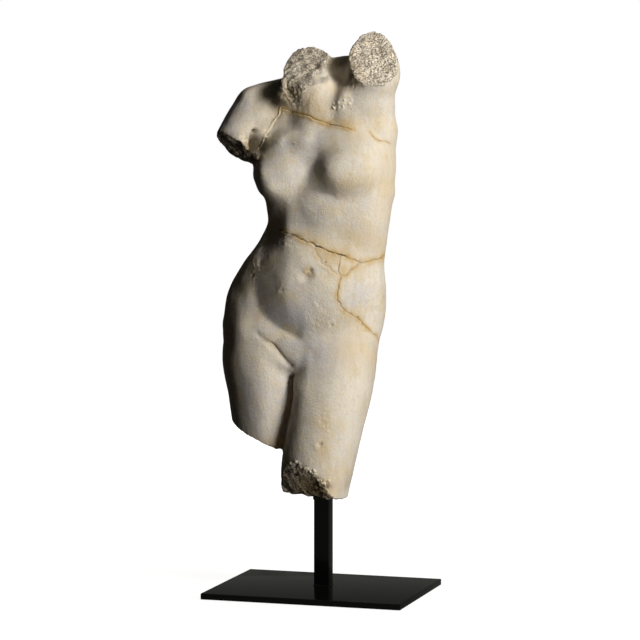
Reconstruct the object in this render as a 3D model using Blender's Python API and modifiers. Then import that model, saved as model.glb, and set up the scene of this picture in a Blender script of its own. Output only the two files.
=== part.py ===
"""Broken marble torso of Venus on a square support rod and a flat base plate.

Metres, +Z up, origin at the middle of the base plate's underside. The figure faces -Y, so its
own left side lies at +X. It stands with its weight on the right leg: the right hip swings out,
the left thigh comes forward, the left arm was raised and the right arm hung low. Head, arms and
legs are lost, each at a rough fracture.

The body is worked as clay: simple masses are blocked out with primitives, fused by a voxel
remesh, and settled onto the smooth blend of the same masses.
"""
from collections import namedtuple

import bmesh
import bpy
import numpy as np
from mathutils import Matrix, Vector

MM = 0.001

# Stand, in metres
PLATE_SIZE = (0.200, 0.150, 0.006)
PLATE_BEVEL = 0.0005
ROD_SIDE = 0.015
ROD_BEVEL = 0.0006
ROD_CENTRE = (-0.001, 0.006)
SOCKET_DEPTH = 0.050
THIGH_END = 0.0905
CONTACT_GAP = 0.0003

# Body mesh
SETTLE_STEPS = 5
TORSO_TRIANGLES = 9400
RING_POINTS = 36

# Everything below that shapes the body is in millimetres.
VOXEL = 2.2
SHAPE_BLEND = 5
BREAK_EDGE = 1.0
BREAK_SWELL = 1.3
BREAK_GRAIN = 0.9

# Stations of a loft: height, centre x, centre y, turn in degrees, half width, front depth,
# back depth.
TRUNK = [
    (205, -28, 22, 8, 24, 28, 40),
    (225, -30, 25, 8, 58, 33, 46),
    (247, -31, 27, 8, 76.5, 37, 48),
    (272, -27, 28, 7, 80, 38, 46),
    (296, -23, 27, 6, 78.5, 38, 40),
    (320, -17, 26, 5, 70, 38, 34),
    (343, -7, 25, 3, 63, 36, 32),
    (360, -2, 24, 1, 61, 35, 34),
    (378, -1, 25, 0, 62.5, 36, 38),
    (402, 0, 27, -2, 63, 36, 41),
    (425, 1, 29, -2, 60, 34, 42),
    (447, 0, 32, -2, 55, 29, 38),
    (467, 0, 35, -2, 46, 23, 31),
    (487, 0, 38, -2, 34, 16, 24),
]
LEFT_THIGH = [
    (85, -10, 2, 5, 33, 33, 30),
    (120, -6.3, 4, 5, 35.5, 35, 33),
    (160, 0, 10, 5, 37, 39, 37),
    (200, 5.5, 19, 6, 38.5, 41, 42),
    (235, 7, 26, 7, 38, 38, 42),
    (262, 6, 29, 7, 33, 32, 36),
    (285, 4, 31, 7, 24, 22, 26),
]
RIGHT_THIGH = [
    (110, -62, 32, 8, 33, 35, 32),
    (150, -63, 31, 8, 37, 39, 36),
    (190, -65, 30, 8, 41, 43, 42),
    (225, -67.5, 29, 8, 43, 43, 46),
    (250, -66, 29, 8, 41, 40, 44),
    (268, -60, 30, 8, 36, 35, 39),
    (286, -52, 31, 8, 27, 26, 31),
]


def unit(vector):
    vector = np.asarray(vector, float)
    return vector / np.linalg.norm(vector)


def ramp(value, low, high):
    """Ease from 0 at low to 1 at high."""
    share = np.clip((value - low) / (high - low), 0, 1)
    return share * share * (3 - 2 * share)


def fuse(a, b, blend):
    """Distance to the union of two masses, with a fillet about as wide as blend."""
    share = np.clip(0.5 + 0.5 * (b - a) / blend, 0, 1)
    return b * (1 - share) + a * share - blend * share * (1 - share)


def carve(a, b, blend):
    """Distance to what is inside both, with the edge rounded by about blend."""
    return -fuse(-a, -b, blend)


def rough(points, wavelength, seed):
    """Seeded noise between about -1 and 1, from waves that run in random directions."""
    chance = np.random.default_rng(seed)
    waves = 28
    ways = chance.normal(size=(waves, 3))
    ways /= np.linalg.norm(ways, axis=1, keepdims=True)
    lengths = wavelength * chance.uniform(0.6, 1.7, waves)
    phases = chance.uniform(0, 2 * np.pi, waves)
    swing = np.sin(points @ (ways * (2 * np.pi / lengths)[:, None]).T + phases)
    return swing.sum(axis=1) / np.sqrt(2 * waves)


def plane_distance(points, point, normal):
    return (points - np.asarray(point, float)) @ unit(normal)


class Ball:
    """An ellipsoid, turned about Z and leaned about Y, in degrees."""

    def __init__(self, centre, radii, turn=0.0, lean=0.0):
        self.centre = np.asarray(centre, float)
        self.radii = np.asarray(radii, float)
        spin = Matrix.Rotation(np.radians(turn), 3, "Z") @ Matrix.Rotation(np.radians(lean), 3, "Y")
        self.axes = np.array(spin)
        self.matrix = Matrix.Translation(centre) @ spin.to_4x4() @ Matrix.Diagonal((*radii, 1))

    def distance(self, points):
        local = (points - self.centre) @ self.axes
        near = np.linalg.norm(local / self.radii, axis=1)
        slope = np.linalg.norm(local / self.radii ** 2, axis=1)
        return near * (near - 1) / np.maximum(slope, 1e-6)

    def block(self, bm):
        bmesh.ops.create_uvsphere(bm, u_segments=28, v_segments=18, radius=1, matrix=self.matrix)


class Limb:
    """A tapered round bar between two ball ends."""

    def __init__(self, start, end, start_radius, end_radius):
        self.start = np.asarray(start, float)
        self.end = np.asarray(end, float)
        self.radii = (start_radius, end_radius)

    def distance(self, points):
        length = np.linalg.norm(self.end - self.start)
        way = (self.end - self.start) / length
        first, last = self.radii
        offset = points - self.start
        along = offset @ way
        out = np.linalg.norm(offset - along[:, None] * way, axis=1)
        sine = (first - last) / length
        share = np.clip((along + out * sine / np.sqrt(1 - sine ** 2)) / length, 0, 1)
        return np.hypot(along - share * length, out) - (first + (last - first) * share)

    def block(self, bm):
        way = Vector(self.end - self.start)
        turn = way.to_track_quat("Z", "Y").to_matrix().to_4x4()
        middle = Matrix.Translation((self.start + self.end) / 2)
        bmesh.ops.create_cone(bm, cap_ends=True, segments=28, radius1=self.radii[0],
                              radius2=self.radii[1], depth=way.length, matrix=middle @ turn)
        for centre, radius in zip((self.start, self.end), self.radii):
            bmesh.ops.create_uvsphere(bm, u_segments=28, v_segments=18, radius=radius,
                                      matrix=Matrix.Translation(centre))


class Loft:
    """A smooth body through oval stations, closed with a rounded rim at each end."""

    def __init__(self, stations, low, high, rim, squareness=2.1):
        self.stations = np.array(stations, float)
        self.low = low
        self.high = high
        self.rim = rim
        self.squareness = squareness

    def section(self, height):
        """Centre x, centre y, turn, half width, front and back depth at each height."""
        knots = self.stations[:, 0]
        slopes = np.gradient(self.stations, knots, axis=0)
        index = np.clip(np.searchsorted(knots, height) - 1, 0, len(knots) - 2)
        span = knots[index + 1] - knots[index]
        t = np.clip((height - knots[index]) / span, 0, 1)
        starts = (2 * t**3 - 3 * t**2 + 1, (t**3 - 2 * t**2 + t) * span)
        ends = (-2 * t**3 + 3 * t**2, (t**3 - t**2) * span)
        columns = range(1, 7)
        return [starts[0] * self.stations[index, i] + starts[1] * slopes[index, i]
                + ends[0] * self.stations[index + 1, i] + ends[1] * slopes[index + 1, i]
                for i in columns]

    def distance(self, points):
        x, y, turn, width, front, back = self.section(points[:, 2])
        turn = np.radians(turn)
        east = points[:, 0] - x
        north = points[:, 1] - y
        across = east * np.cos(turn) + north * np.sin(turn)
        deep = north * np.cos(turn) - east * np.sin(turn)
        depth = np.where(deep < 0, front, back)
        power = self.squareness
        scale = (np.abs(across / width) ** power + np.abs(deep / depth) ** power) ** (1 / power)
        radius = np.hypot(across, deep) + 1e-6
        side = np.where(scale > 0.05, radius - radius / (scale + 1e-6), -np.minimum(width, depth))
        ends = np.maximum(self.low - points[:, 2], points[:, 2] - self.high)
        return carve(0.92 * side, ends, self.rim)

    def block(self, bm):
        rings = []
        for height in np.linspace(self.low + 4, self.high - 4, 14):
            x, y, turn, width, front, back = (value[0] for value in self.section(np.array([height])))
            turn = np.radians(turn)
            ring = []
            for angle in np.linspace(0, 2 * np.pi, RING_POINTS, endpoint=False):
                across = width * np.cos(angle)
                deep = (back if angle < np.pi else front) * np.sin(angle)
                ring.append(bm.verts.new((x + across * np.cos(turn) - deep * np.sin(turn),
                                          y + across * np.sin(turn) + deep * np.cos(turn), height)))
            rings.append(ring)
        for lower, upper in zip(rings, rings[1:]):
            for i in range(RING_POINTS):
                j = (i + 1) % RING_POINTS
                bm.faces.new((lower[i], lower[j], upper[j], upper[i]))
        bm.faces.new(reversed(rings[0]))
        bm.faces.new(rings[-1])


def right_groin(points):
    """The fillet between trunk and right thigh, which closes to a crease in the groin."""
    return 4 + 9 * ramp(points[:, 2], 238, 262) + 6 * ramp(points[:, 1], 20, 50)


def left_groin(points):
    """The fillet at the left thigh, wide over the hip and a crease between the legs."""
    x, y, z = points.T
    over_hip = ramp(x + 0.9 * (z - 222), -16, 24) * ramp(40 - y, 0, 30)
    return 4 + 12 * over_hip + 5 * ramp(y, 20, 50)


def belly_edge(points):
    """Crisp along the belly's lower right, soft where it runs out into the left flank."""
    return 6 + 18 * ramp(0.7 * (points[:, 0] + 17 + points[:, 2] - 294), -20, 30)


# One mass of the body: its shapes, the blend that joins it to the masses before it, and the
# planes at which it is broken off, each a point and an outward normal.
Form = namedtuple("Form", "shapes blend breaks", defaults=(0, ()))

FORMS = [
    Form([Loft(TRUNK, 206, 492, 24, squareness=2.25)]),
    # Buttocks and pubis
    Form([Ball((-62, 58, 236), (38, 33, 38), turn=8)], 18),
    Form([Ball((-1, 56, 230), (34, 32, 37), turn=8)], 18),
    Form([Ball((-24, 9, 238), (30, 17, 24), turn=6)], 12),
    # Thighs
    Form([Loft(RIGHT_THIGH, 96, 292, 20)], right_groin, [((-66, 33, 149), (-0.42, 0, -0.9))]),
    Form([Loft(LEFT_THIGH, 76, 288, 20)], left_groin,
         [((0, 10, THIGH_END / MM), (-0.03, 0, -1)), ((-4.9, -27, 114), (-0.35, -0.75, -0.55))]),
    Form([Ball((-17, 8, 294), (50, 30, 50), turn=4, lean=6)], belly_edge),
    # Breasts, each a flat upper slope and a rounder lower part
    Form([Ball((26, 8, 424), (27, 13, 27), turn=6)], 16),
    Form([Ball((27.5, 1, 412), (24, 17.5, 21), turn=6)], 13),
    Form([Ball((-40, 9, 420), (26, 13, 26), turn=-16)], 16),
    Form([Ball((-45, 2, 407), (24, 17.5, 21), turn=-16)], 13),
    Form([Ball((-58, 12, 416), (15, 15, 22))], 10),
    # Right shoulder, flank and lowered arm
    Form([Ball((-46, 34, 474), (36, 23, 24))], 18),
    Form([Limb((-54, 36, 462), (-50, 32, 400), 20, 13)], 16),
    Form([Limb((-76, 29, 467), (-96, -6, 419), 26.5, 22)], 9,
         [((-91, 6, 432), (-0.45, -0.49, -0.75))]),
    # Upper back and left shoulder, pulled up by the raised arm
    Form([Limb((0, 46, 499), (38, 44, 502), 21, 20)], 12),
    Form([Limb((-8, 42, 490), (-62, 36, 474), 22, 20)], 12),
    Form([Ball((31, 34, 474), (27, 25, 30))], 14),
    Form([Limb((38, 40, 484), (46, 36, 448), 16, 17.5),
          Limb((46, 36, 448), (49, 32, 396), 17.5, 13)], 12),
    Form([Limb((39, 31, 480), (43, 27, 506), 21, 22.5),
          Limb((43, 27, 506), (42.5, 22, 566), 22.5, 20.5),
          Ball((49, 29, 506), (19, 21, 26))], 8, [((41, 24, 520), (0.21, -0.77, 0.60))]),
    Form([Limb((-14, 27, 470), (-27, 15, 540), 25, 25)], 8,
         [((-24, 19, 509), (0.03, -0.71, 0.70)), ((-24, 7, 496), (-0.40, -0.90, 0.12))]),
]

# Creases, each with its route, depth and width.
SPINE = ([(-8, 76, 470), (-6, 70, 430), (-6, 62, 380), (-14, 60, 330), (-26, 72, 280)], 3.5, 9)
CLEFT = ([(-28, 92, 262), (-30, 96, 235), (-30, 84, 205)], 9, 6)
GROIN = ([(-62, 253), (-52, 245), (-41, 234.5), (-33, 225), (-26, 220.5)], 1.1, 2.3)
NAVEL = ((-10.5, -24, 311), 5.0, 4.6)


def route_distance(points, route):
    """Distance to a line of straight stretches."""
    near = np.full(len(points), np.inf)
    for start, end in zip(route, route[1:]):
        start = np.asarray(start, float)
        stretch = np.asarray(end, float) - start
        share = np.clip((points - start) @ stretch / (stretch @ stretch), 0, 1)
        near = np.minimum(near, np.linalg.norm(points - start - share[:, None] * stretch, axis=1))
    return near


def sink(points, distance, route, depth, width):
    """Press a soft groove into the surface along a route."""
    return distance + depth * np.exp(-(route_distance(points, route) / width) ** 2)


def sink_front(points, distance, route, depth, width):
    """Press a groove into the front only, along a route of x and z."""
    flat = points * (1, 0, 1)
    near = route_distance(flat, [(x, 0, z) for x, z in route])
    return distance + depth * np.exp(-(near / width) ** 2) * ramp(-points[:, 1], -16, -2)


def dimple(points, distance, centre, depth, width):
    """Press a round hollow into the surface."""
    near = np.linalg.norm(points - np.asarray(centre, float), axis=1)
    return distance + depth * np.exp(-(near / width) ** 2)


def whole(form, points):
    """Distance to one mass, before its breaks."""
    distance = form.shapes[0].distance(points)
    for shape in form.shapes[1:]:
        distance = fuse(distance, shape.distance(points), SHAPE_BLEND)
    return distance


def clay(points):
    """Signed distance from each point to the body's surface, without the breaks' roughness."""
    body = None
    for form in FORMS:
        mass = whole(form, points)
        for point, normal in form.breaks:
            mass = carve(mass, plane_distance(points, point, normal), BREAK_EDGE)
        blend = form.blend(points) if callable(form.blend) else form.blend
        body = mass if body is None else fuse(body, mass, blend)
    body = sink(points, body, *SPINE)
    body = sink(points, body, *CLEFT)
    body = sink_front(points, body, *GROIN)
    return dimple(points, body, *NAVEL)


def clay_slope(points):
    """Direction in which the distance grows, by small steps along each axis."""
    step = 0.4
    slope = np.empty_like(points)
    for axis in range(3):
        offset = np.zeros(3)
        offset[axis] = step
        slope[:, axis] = (clay(points + offset) - clay(points - offset)) / (2 * step)
    return slope


def clear_scene():
    for item in list(bpy.data.objects):
        bpy.data.objects.remove(item, do_unlink=True)


def new_collection(name):
    group = bpy.data.collections.new(name)
    bpy.context.scene.collection.children.link(group)
    return group


def finish(name, colour, roughness, metallic=0.0):
    """A Principled material."""
    surface = bpy.data.materials.new(name)
    surface.use_nodes = True
    shader = surface.node_tree.nodes["Principled BSDF"]
    shader.inputs["Base Color"].default_value = (*colour, 1)
    shader.inputs["Roughness"].default_value = roughness
    shader.inputs["Metallic"].default_value = metallic
    return surface


def add_piece(name, mesh, group, surface=None):
    piece = bpy.data.objects.new(name, mesh)
    group.objects.link(piece)
    if surface:
        mesh.materials.append(surface)
    return piece


def mesh_from(name, bm):
    bmesh.ops.recalc_face_normals(bm, faces=bm.faces)
    mesh = bpy.data.meshes.new(name)
    bm.to_mesh(mesh)
    bm.free()
    return mesh


def box_mesh(name, size):
    """A box about its own centre."""
    bm = bmesh.new()
    bmesh.ops.create_cube(bm, size=1, matrix=Matrix.Diagonal((*size, 1)))
    return mesh_from(name, bm)


def bevel(piece, width):
    rounding = piece.modifiers.new("edges", "BEVEL")
    rounding.width = width
    rounding.segments = 2


def baked_mesh(piece):
    """The piece's mesh with its modifiers applied."""
    graph = bpy.context.evaluated_depsgraph_get()
    return bpy.data.meshes.new_from_object(piece.evaluated_get(graph))


def block_shape(bm, shape, breaks):
    """Add one shape as a closed primitive, sawn off flat at its breaks."""
    piece = bmesh.new()
    shape.block(piece)
    for point, normal in breaks:
        everything = [*piece.verts, *piece.edges, *piece.faces]
        bmesh.ops.bisect_plane(piece, geom=everything, plane_co=point, plane_no=normal,
                               clear_outer=True)
        bmesh.ops.holes_fill(piece, edges=piece.edges)
    mesh = mesh_from("shape", piece)
    bm.from_mesh(mesh)
    bpy.data.meshes.remove(mesh)


def blocked_out(group):
    """All masses as primitives, in millimetres, fused into one skin by a voxel remesh."""
    bm = bmesh.new()
    for form in FORMS:
        for shape in form.shapes:
            block_shape(bm, shape, form.breaks)
    block = add_piece("block", mesh_from("block", bm), group)
    skin = block.modifiers.new("skin", "REMESH")
    skin.mode = "VOXEL"
    skin.voxel_size = VOXEL
    mesh = baked_mesh(block)
    bpy.data.objects.remove(block, do_unlink=True)
    return mesh


def settle(points):
    """Move every point onto the clay's surface."""
    for _ in range(SETTLE_STEPS):
        slope = clay_slope(points)
        steepness = np.maximum((slope ** 2).sum(axis=1), 0.2)
        move = np.clip(clay(points) / steepness, -4, 4)
        points = points - slope * move[:, None]
    return points


def roughen(points):
    """Make the breaks uneven: each is pushed in and out along its own normal."""
    moved = points.copy()
    height = (BREAK_SWELL * rough(points, 22, 1) + BREAK_GRAIN * rough(points, 8, 2))
    for form in FORMS:
        for point, normal in form.breaks:
            near_face = ramp(1.6 - np.abs(plane_distance(points, point, normal)), 0, 1.2)
            inside_rim = ramp(-whole(form, points), -0.5, 2.5)
            moved += unit(normal) * (height * near_face * inside_rim)[:, None]
    return moved


def shape_vertices(mesh):
    """Settle and roughen the skin, and bring it to metres."""
    points = np.empty(len(mesh.vertices) * 3, np.float32)
    mesh.vertices.foreach_get("co", points)
    points = roughen(settle(points.reshape(-1, 3).astype(float)))
    mesh.vertices.foreach_set("co", (points * MM).astype(np.float32).ravel())
    mesh.update()


def make_torso(group, cutters):
    mesh = blocked_out(cutters)
    shape_vertices(mesh)
    stone = finish("marble", (0.74, 0.69, 0.58), 0.55)
    torso = add_piece("torso", mesh, group, stone)
    lighten = torso.modifiers.new("lighten", "DECIMATE")
    lighten.ratio = TORSO_TRIANGLES / (2 * len(mesh.polygons))
    socket_side = ROD_SIDE + 2 * CONTACT_GAP
    socket_top = THIGH_END + SOCKET_DEPTH + CONTACT_GAP
    socket_foot = THIGH_END - 0.012
    size = (socket_side, socket_side, socket_top - socket_foot)
    cutter = add_piece("rod_socket", box_mesh("rod_socket", size), cutters)
    cutter.location = (*ROD_CENTRE, (socket_top + socket_foot) / 2)
    cutter.display_type = "WIRE"
    cutter.hide_render = True
    socket = torso.modifiers.new("socket", "BOOLEAN")
    socket.operation = "DIFFERENCE"
    socket.solver = "EXACT"
    socket.object = cutter


def make_stand(group):
    gloss_black = finish("black_acrylic", (0.012, 0.012, 0.013), 0.12)
    plate = add_piece("base_plate", box_mesh("base_plate", PLATE_SIZE), group, gloss_black)
    plate.location.z = PLATE_SIZE[2] / 2
    bevel(plate, PLATE_BEVEL)
    foot = PLATE_SIZE[2] + CONTACT_GAP
    top = THIGH_END + SOCKET_DEPTH
    black_metal = finish("black_metal", (0.010, 0.010, 0.011), 0.16)
    rod_size = (ROD_SIDE, ROD_SIDE, top - foot)
    rod = add_piece("support_rod", box_mesh("support_rod", rod_size), group, black_metal)
    rod.location = (*ROD_CENTRE, (foot + top) / 2)
    bevel(rod, ROD_BEVEL)


def main():
    clear_scene()
    statue = new_collection("venus_statue")
    cutters = new_collection("cutters")
    make_stand(statue)
    make_torso(statue, cutters)


main()
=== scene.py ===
"""Dressed model of a broken marble torso of Venus on a square rod and a flat black base plate.

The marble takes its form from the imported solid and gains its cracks, repairs, chips, pits and
granular fractures here. The stand is modelled as polished black bar and plate.
"""

from collections import namedtuple

import bpy
import numpy as np
from bpy.props import FloatProperty, FloatVectorProperty, PointerProperty
from bpy.types import Operator, Panel, PropertyGroup
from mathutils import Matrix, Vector, noise
from mathutils.bvhtree import BVHTree
from mathutils.kdtree import KDTree


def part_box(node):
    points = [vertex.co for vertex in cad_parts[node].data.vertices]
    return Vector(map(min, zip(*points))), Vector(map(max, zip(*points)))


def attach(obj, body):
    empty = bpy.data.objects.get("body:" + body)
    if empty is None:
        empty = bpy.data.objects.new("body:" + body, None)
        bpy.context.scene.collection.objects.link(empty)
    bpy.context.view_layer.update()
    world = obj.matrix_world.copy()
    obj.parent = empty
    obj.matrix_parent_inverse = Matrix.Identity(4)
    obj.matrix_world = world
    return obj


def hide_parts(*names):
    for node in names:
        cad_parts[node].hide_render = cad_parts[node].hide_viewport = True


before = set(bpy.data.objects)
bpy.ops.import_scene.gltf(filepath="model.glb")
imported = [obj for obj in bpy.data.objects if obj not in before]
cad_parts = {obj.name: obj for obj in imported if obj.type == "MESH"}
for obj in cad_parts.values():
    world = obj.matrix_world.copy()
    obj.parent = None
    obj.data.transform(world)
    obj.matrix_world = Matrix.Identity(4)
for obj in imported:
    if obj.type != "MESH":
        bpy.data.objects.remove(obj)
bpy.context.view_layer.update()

bl_info = {
    "name": "Venus Torso on a Stand",
    "version": (1, 0, 0),
    "blender": (4, 5, 0),
    "location": "3D View > Sidebar > Venus",
    "description": "Builds a broken marble torso on a black stand around its packed solids",
    "category": "Add Mesh",
}

MM = 0.001

# ---------- The marble: places and sizes in millimetres, in the frame's own axes ----------

# Routes of the cracks, the armpit's bead and groove, the folds and the creases
CHEST_CRACK = [
    (-46, 10, 473), (-31, 6, 468), (-17, 3, 465), (-5, 4, 460), (6, 6, 456), (18, 4, 453), (30, 2, 451),
]
CHEST_CRACK_END = [(44, 8, 450), (51, 9, 442), (57, 17, 440), (62, 24, 438)]
WAIST_CRACK = [
    (-46, -4, 356), (-36, -9, 352), (-18, -14, 346), (0, -14, 339), (11, -13, 334), (21, -9, 331),
    (27, -6, 329),
]
WAIST_CRACK_END = [
    (15, -11, 333), (21, -9, 331), (31, -4, 327), (40, 3, 323), (49, 13, 325), (55, 31, 329),
    (52, 44, 333), (40, 56, 339),
]
FLANK_CRACK = [
    (22, -9, 333), (21, -11, 326), (20, -13, 318), (22, -13, 311), (20, -13, 300), (19, -13, 287),
    (25, -7, 277), (35, 2, 269), (45, 18, 254), (46, 31, 247), (40, 44, 240),
]
PATCH_CRACK = [(22, -12, 312), (26, -9, 311), (32, -4, 318), (38, 1, 324)]
FLAKE_EDGE = [
    (-22, -13, 347), (-12, -14, 345), (-4, -14, 342), (-1, -17, 333), (5, -17, 324), (13, -15, 318),
    (20, -13, 311),
]
ARMPIT_RIDGE = [
    (-45, 10, 474), (-47, 10, 466), (-53, 9, 459), (-57, 8, 452), (-60, 6, 447), (-62, 4, 440),
    (-66, -1, 432),
]
BELLY_FOLD = [
    (-66, -6, 304), (-66, -10, 290), (-63, -12, 279), (-54, -13, 269), (-42, -13, 261), (-29, -12, 253),
    (-16, -11, 249),
]
BREAST_FOLD = [
    (-17, -8, 434), (-15, -9, 418), (-12, -10, 407), (-5, -11, 397), (7, -12, 390), (20, -12, 388),
]
ARMPIT_GROOVE = [(-68, -2, 452), (-68, -5, 444), (-68, -6, 437), (-69, -7, 430), (-69, -5, 423)]
GAP_TOP = [(-24, -8, 218), (-27, -3, 212), (-30, 1, 202), (-32, 1, 193)]
GROIN_CREASE = [(-51, -12, 249), (-43, -11, 240), (-36, -10, 231), (-27, -8, 220)]
BACK_CRACK = [(-62, 60, 462), (-40, 72, 455), (-18, 74, 458), (4, 73, 452), (26, 71, 449), (48, 60, 444)]

# Cracks: route, depth, half width, raised lip, wander, width of the ochre halo, ochre, earth. Their earth
# is dirt, but in the groin crease it is painted shade, and in the armpit groove painted shade over dirt.
Crack = namedtuple("Crack", "stops depth half_width lip wander halo ochre soil")
CRACKS = [Crack(*row) for row in (
    (CHEST_CRACK, 0.8, 0.45, 0.55, 0.8, 4.5, 0.8, 0.6),
    (CHEST_CRACK_END, 0.6, 0.5, 0.2, 0.6, 3, 0.6, 0.45),
    (WAIST_CRACK, 1.3, 0.6, 0.3, 0.8, 5, 0.7, 0.9),
    (WAIST_CRACK_END, 0.8, 0.6, 0.15, 0.8, 4.5, 0.8, 0.45),
    (FLANK_CRACK, 0.7, 0.5, 0.15, 0.8, 3, 0.8, 0.45),
    (PATCH_CRACK, 0.5, 0.8, 0.1, 0.7, 3.5, 0.7, 0.2),
    (FLAKE_EDGE, 0.25, 1.1, 0.35, 0.9, 4.5, 0.35, 0.12),
    # The groin crease's earth paints the shade in the crease; the armpit groove's earth paints the
    # armpit's shade over dirt.
    (GROIN_CREASE, 0.5, 0.8, 0, 0, 3, 0.2, 0.35),
    (ARMPIT_GROOVE, 4.5, 3, 0, 0, 4.5, 0.3, 0.95),
    (BACK_CRACK, 1, 0.7, 0.2, 0.8, 5, 0.6, 0.6),
)]

# Fractures: a point on the plane, its outward normal, reach, height of the crags, earth in it,
# and how far it is worn back.
Fracture = namedtuple("Fracture", "point normal reach crags earth wear")
FRACTURES = [Fracture(*row) for row in (
    ((-24, 19, 509), (0.03, -0.71, 0.70), 34, 0.75, 0.24, 0),  # neck, upper face
    ((-24, 7, 496), (-0.40, -0.90, 0.12), 36, 1.7, 0.08, 0),  # neck, lower face
    ((41, 24, 520), (0.21, -0.77, 0.60), 42, 0.75, 0.05, 0),  # raised left arm
    ((-91, 6, 432), (-0.45, -0.49, -0.75), 34, 0.9, 0.65, 0),  # lowered right arm
    ((-66, 33, 149), (-0.42, 0, -0.90), 62, 0.9, 0.45, 0),  # right thigh
    ((0, 10, 90.5), (-0.03, 0, -1), 52, 0.9, 0.6, 3.4),  # left thigh, under
    ((-4.9, -27, 114), (-0.35, -0.75, -0.55), 46, 1.4, 0.34, 1.5),  # left thigh, front
)]
WEAR_DEPTH = 14

# The neck: the left and right edge of its break at each height, the numbers of its upper and
# lower face among the fractures, and the round that the skin beside the lower face keeps.
NECK_SCAR = np.array([(473, -31, -25), (481, -38, -22), (491, -46, -17), (499, -52, -12),
                      (504, -57, -13), (508, -60, -10), (511, -60, -7), (515, -60, -3),
                      (522, -60, -3)], float)
NECK_FACES = (0, 1)
NECK_AXIS = ((-14, 27, 470), (-27, 15, 540))
NECK_RADIUS = 24.6
# The lower face fades in over NECK_SCAR_FOOT. Above it the flat is filled out by up to NECK_FILL.
NECK_SCAR_FOOT = (472, 476)
NECK_FILL = 6
NECK_FILL_TOP = 503
NECK_FILL_FADE = 9

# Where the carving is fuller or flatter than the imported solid: place, reach, shift (along Y
# where it is one number). Folds are valleys with a sharp bottom: route, depth, width towards
# -X, width towards +X.
FORMS = [
    ((14, -14, 412), (16, 12, 15), (-1.7, -5, 0)), ((22, -13, 400), (12, 12, 10), (-0.5, -1.6, 0)),
    ((-14, -1, 443), (9, 10, 9), -2.4), ((-58, -8, 408), (13, 14, 11), (0.4, -5, 0)),
    ((-50, -9, 393), (14, 14, 11), -6.5), ((-62, 5, 388), (9, 16, 9), (-3, 0, 0)),
    ((-70, 1, 419), (8, 14, 8), (3.2, 0, 0)), ((-60, 5, 464), (9, 14, 11), -3.5),
    ((-17, 2, 446), (22, 16, 13), -6.5), ((-42, 2, 464), (11, 12, 10), -2),
    ((-47, -2, 441), (12, 14, 11), -6), ((-28, 0, 455), (9, 12, 9), -0.8),
    ((14, 34, 519), (18, 16, 9), (0, 0, 3)), ((-43, 11, 484), (13, 14, 11), -8.5),
    ((-45, 14, 497), (8, 14, 8), -5.5), ((-32, 6, 492), (5, 10, 8), 2.1), ((4, 16, 503), (8, 14, 8), 3.5),
    ((12, 10, 478), (11, 14, 8), -4), ((-52, 0, 352), (11, 16, 16), (-1.2, 5, 0)),
    ((-71, 12, 487), (11, 18, 10), (-1, 4.5, 0)), ((-65, -2, 438), (6, 12, 9), (-1.5, 5, 0)),
    ((5, 26, 510), (8, 14, 9), (-6, 6, 0)), ((5, 20, 506), (7, 14, 9), (-4, 4, 0)),
    ((6, 28, 517), (7, 14, 7), (-4, 3, 0)), ((17, 14, 486), (10, 14, 9), -6.5),
    ((32, 8, 496), (9, 12, 13), (-1, -1.2, 0)), ((-31, -12, 362), (10, 12, 22), -3.6),
    ((13, 8, 467), (20, 14, 11), -5), ((-42, -10, 386), (10, 12, 9), -2),
    ((3, -16, 374), (22, 12, 22), -4.6), ((-14, -13, 377), (12, 12, 20), -1.3),
    ((-74, 0, 303), (9, 14, 14), 1), ((-68, -6, 307), (10, 14, 18), 0.9),
    ((-19, -15, 335), (12, 12, 12), -1.8), ((-30, -20, 305), (12, 12, 22), -2.4),
    ((-61, -2, 338), (9, 14, 14), 1.4), ((-52, -10, 190), (34, 24, 60), -5),
    ((-34, 2, 203), (9, 18, 42), (2, 0, 0)), ((-58, -12, 205), (12, 16, 50), -1.6),
    ((-12, -12, 230), (9, 12, 12), -2), ((-104, 4, 254), (12, 24, 7), (2.2, 0, 0)),
    ((-26, -12, 228), (9, 12, 7), -1.6), ((-22, -6, 207), (7, 16, 14), (-4, 0, 0)),
    ((-15, -14, 205), (10, 14, 24), -2.2), ((24, 28, 520), (7, 14, 10), (-2.2, 0, 0)),
    ((-32, -3, 211), (6.5, 12, 11), 3.2), ((-46, -8, 212), (9, 14, 14), -1.5),
    ((-36, 2, 198), (6, 18, 20), (2, 0, 0)), ((64, 36, 292), (14, 26, 22), (-3.4, 0, 0)),
    ((66, 36, 420), (12, 30, 26), (-1.8, 0, 0)), ((66, 34, 397), (12, 28, 10), (-1.6, 0, 0)),
    ((-52, 30, 512), (10, 16, 14), (1.6, 0, 0)), ((-27, -20, 101), (9, 18, 9), (-0.5, 0, -3.2)),
    ((34, -4, 98), (10, 24, 12), (-4.2, 0, 0)), ((-80, -8, 256), (11, 18, 20), -3),
    ((-90, -2, 298), (13, 18, 16), 3.4), ((-104, 4, 185), (12, 24, 35), (1.6, 0, 0)),
    ((62, 20, 160), (14, 30, 40), (1.3, 0, 0)), ((-56, 10, 358), (10, 20, 9), (1.5, 0, 0)),
    ((52, 30, 240), (12, 26, 16), (1.8, 0, 0)), ((-96, 12, 483), (10, 16, 9), (2, 0, -1.6)),
    ((-92, 16, 424), (10, 14, 8), (-1.5, 0, -0.6)),
]
FORM_FOLDS = [
    (BREAST_FOLD, 1.3, 7, 8), (BELLY_FOLD, 2.4, 4, 12), (GROIN_CREASE, 2.4, 3, 9), (GAP_TOP, 3, 1, 3),
]

# Slight swellings of the flesh: place, reach, height.
SWELLINGS = [((-55, -14, 407), (3, 4, 3), 1.1), ((31, -17, 415), (2.6, 4, 2.6), 0.7)]

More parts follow.
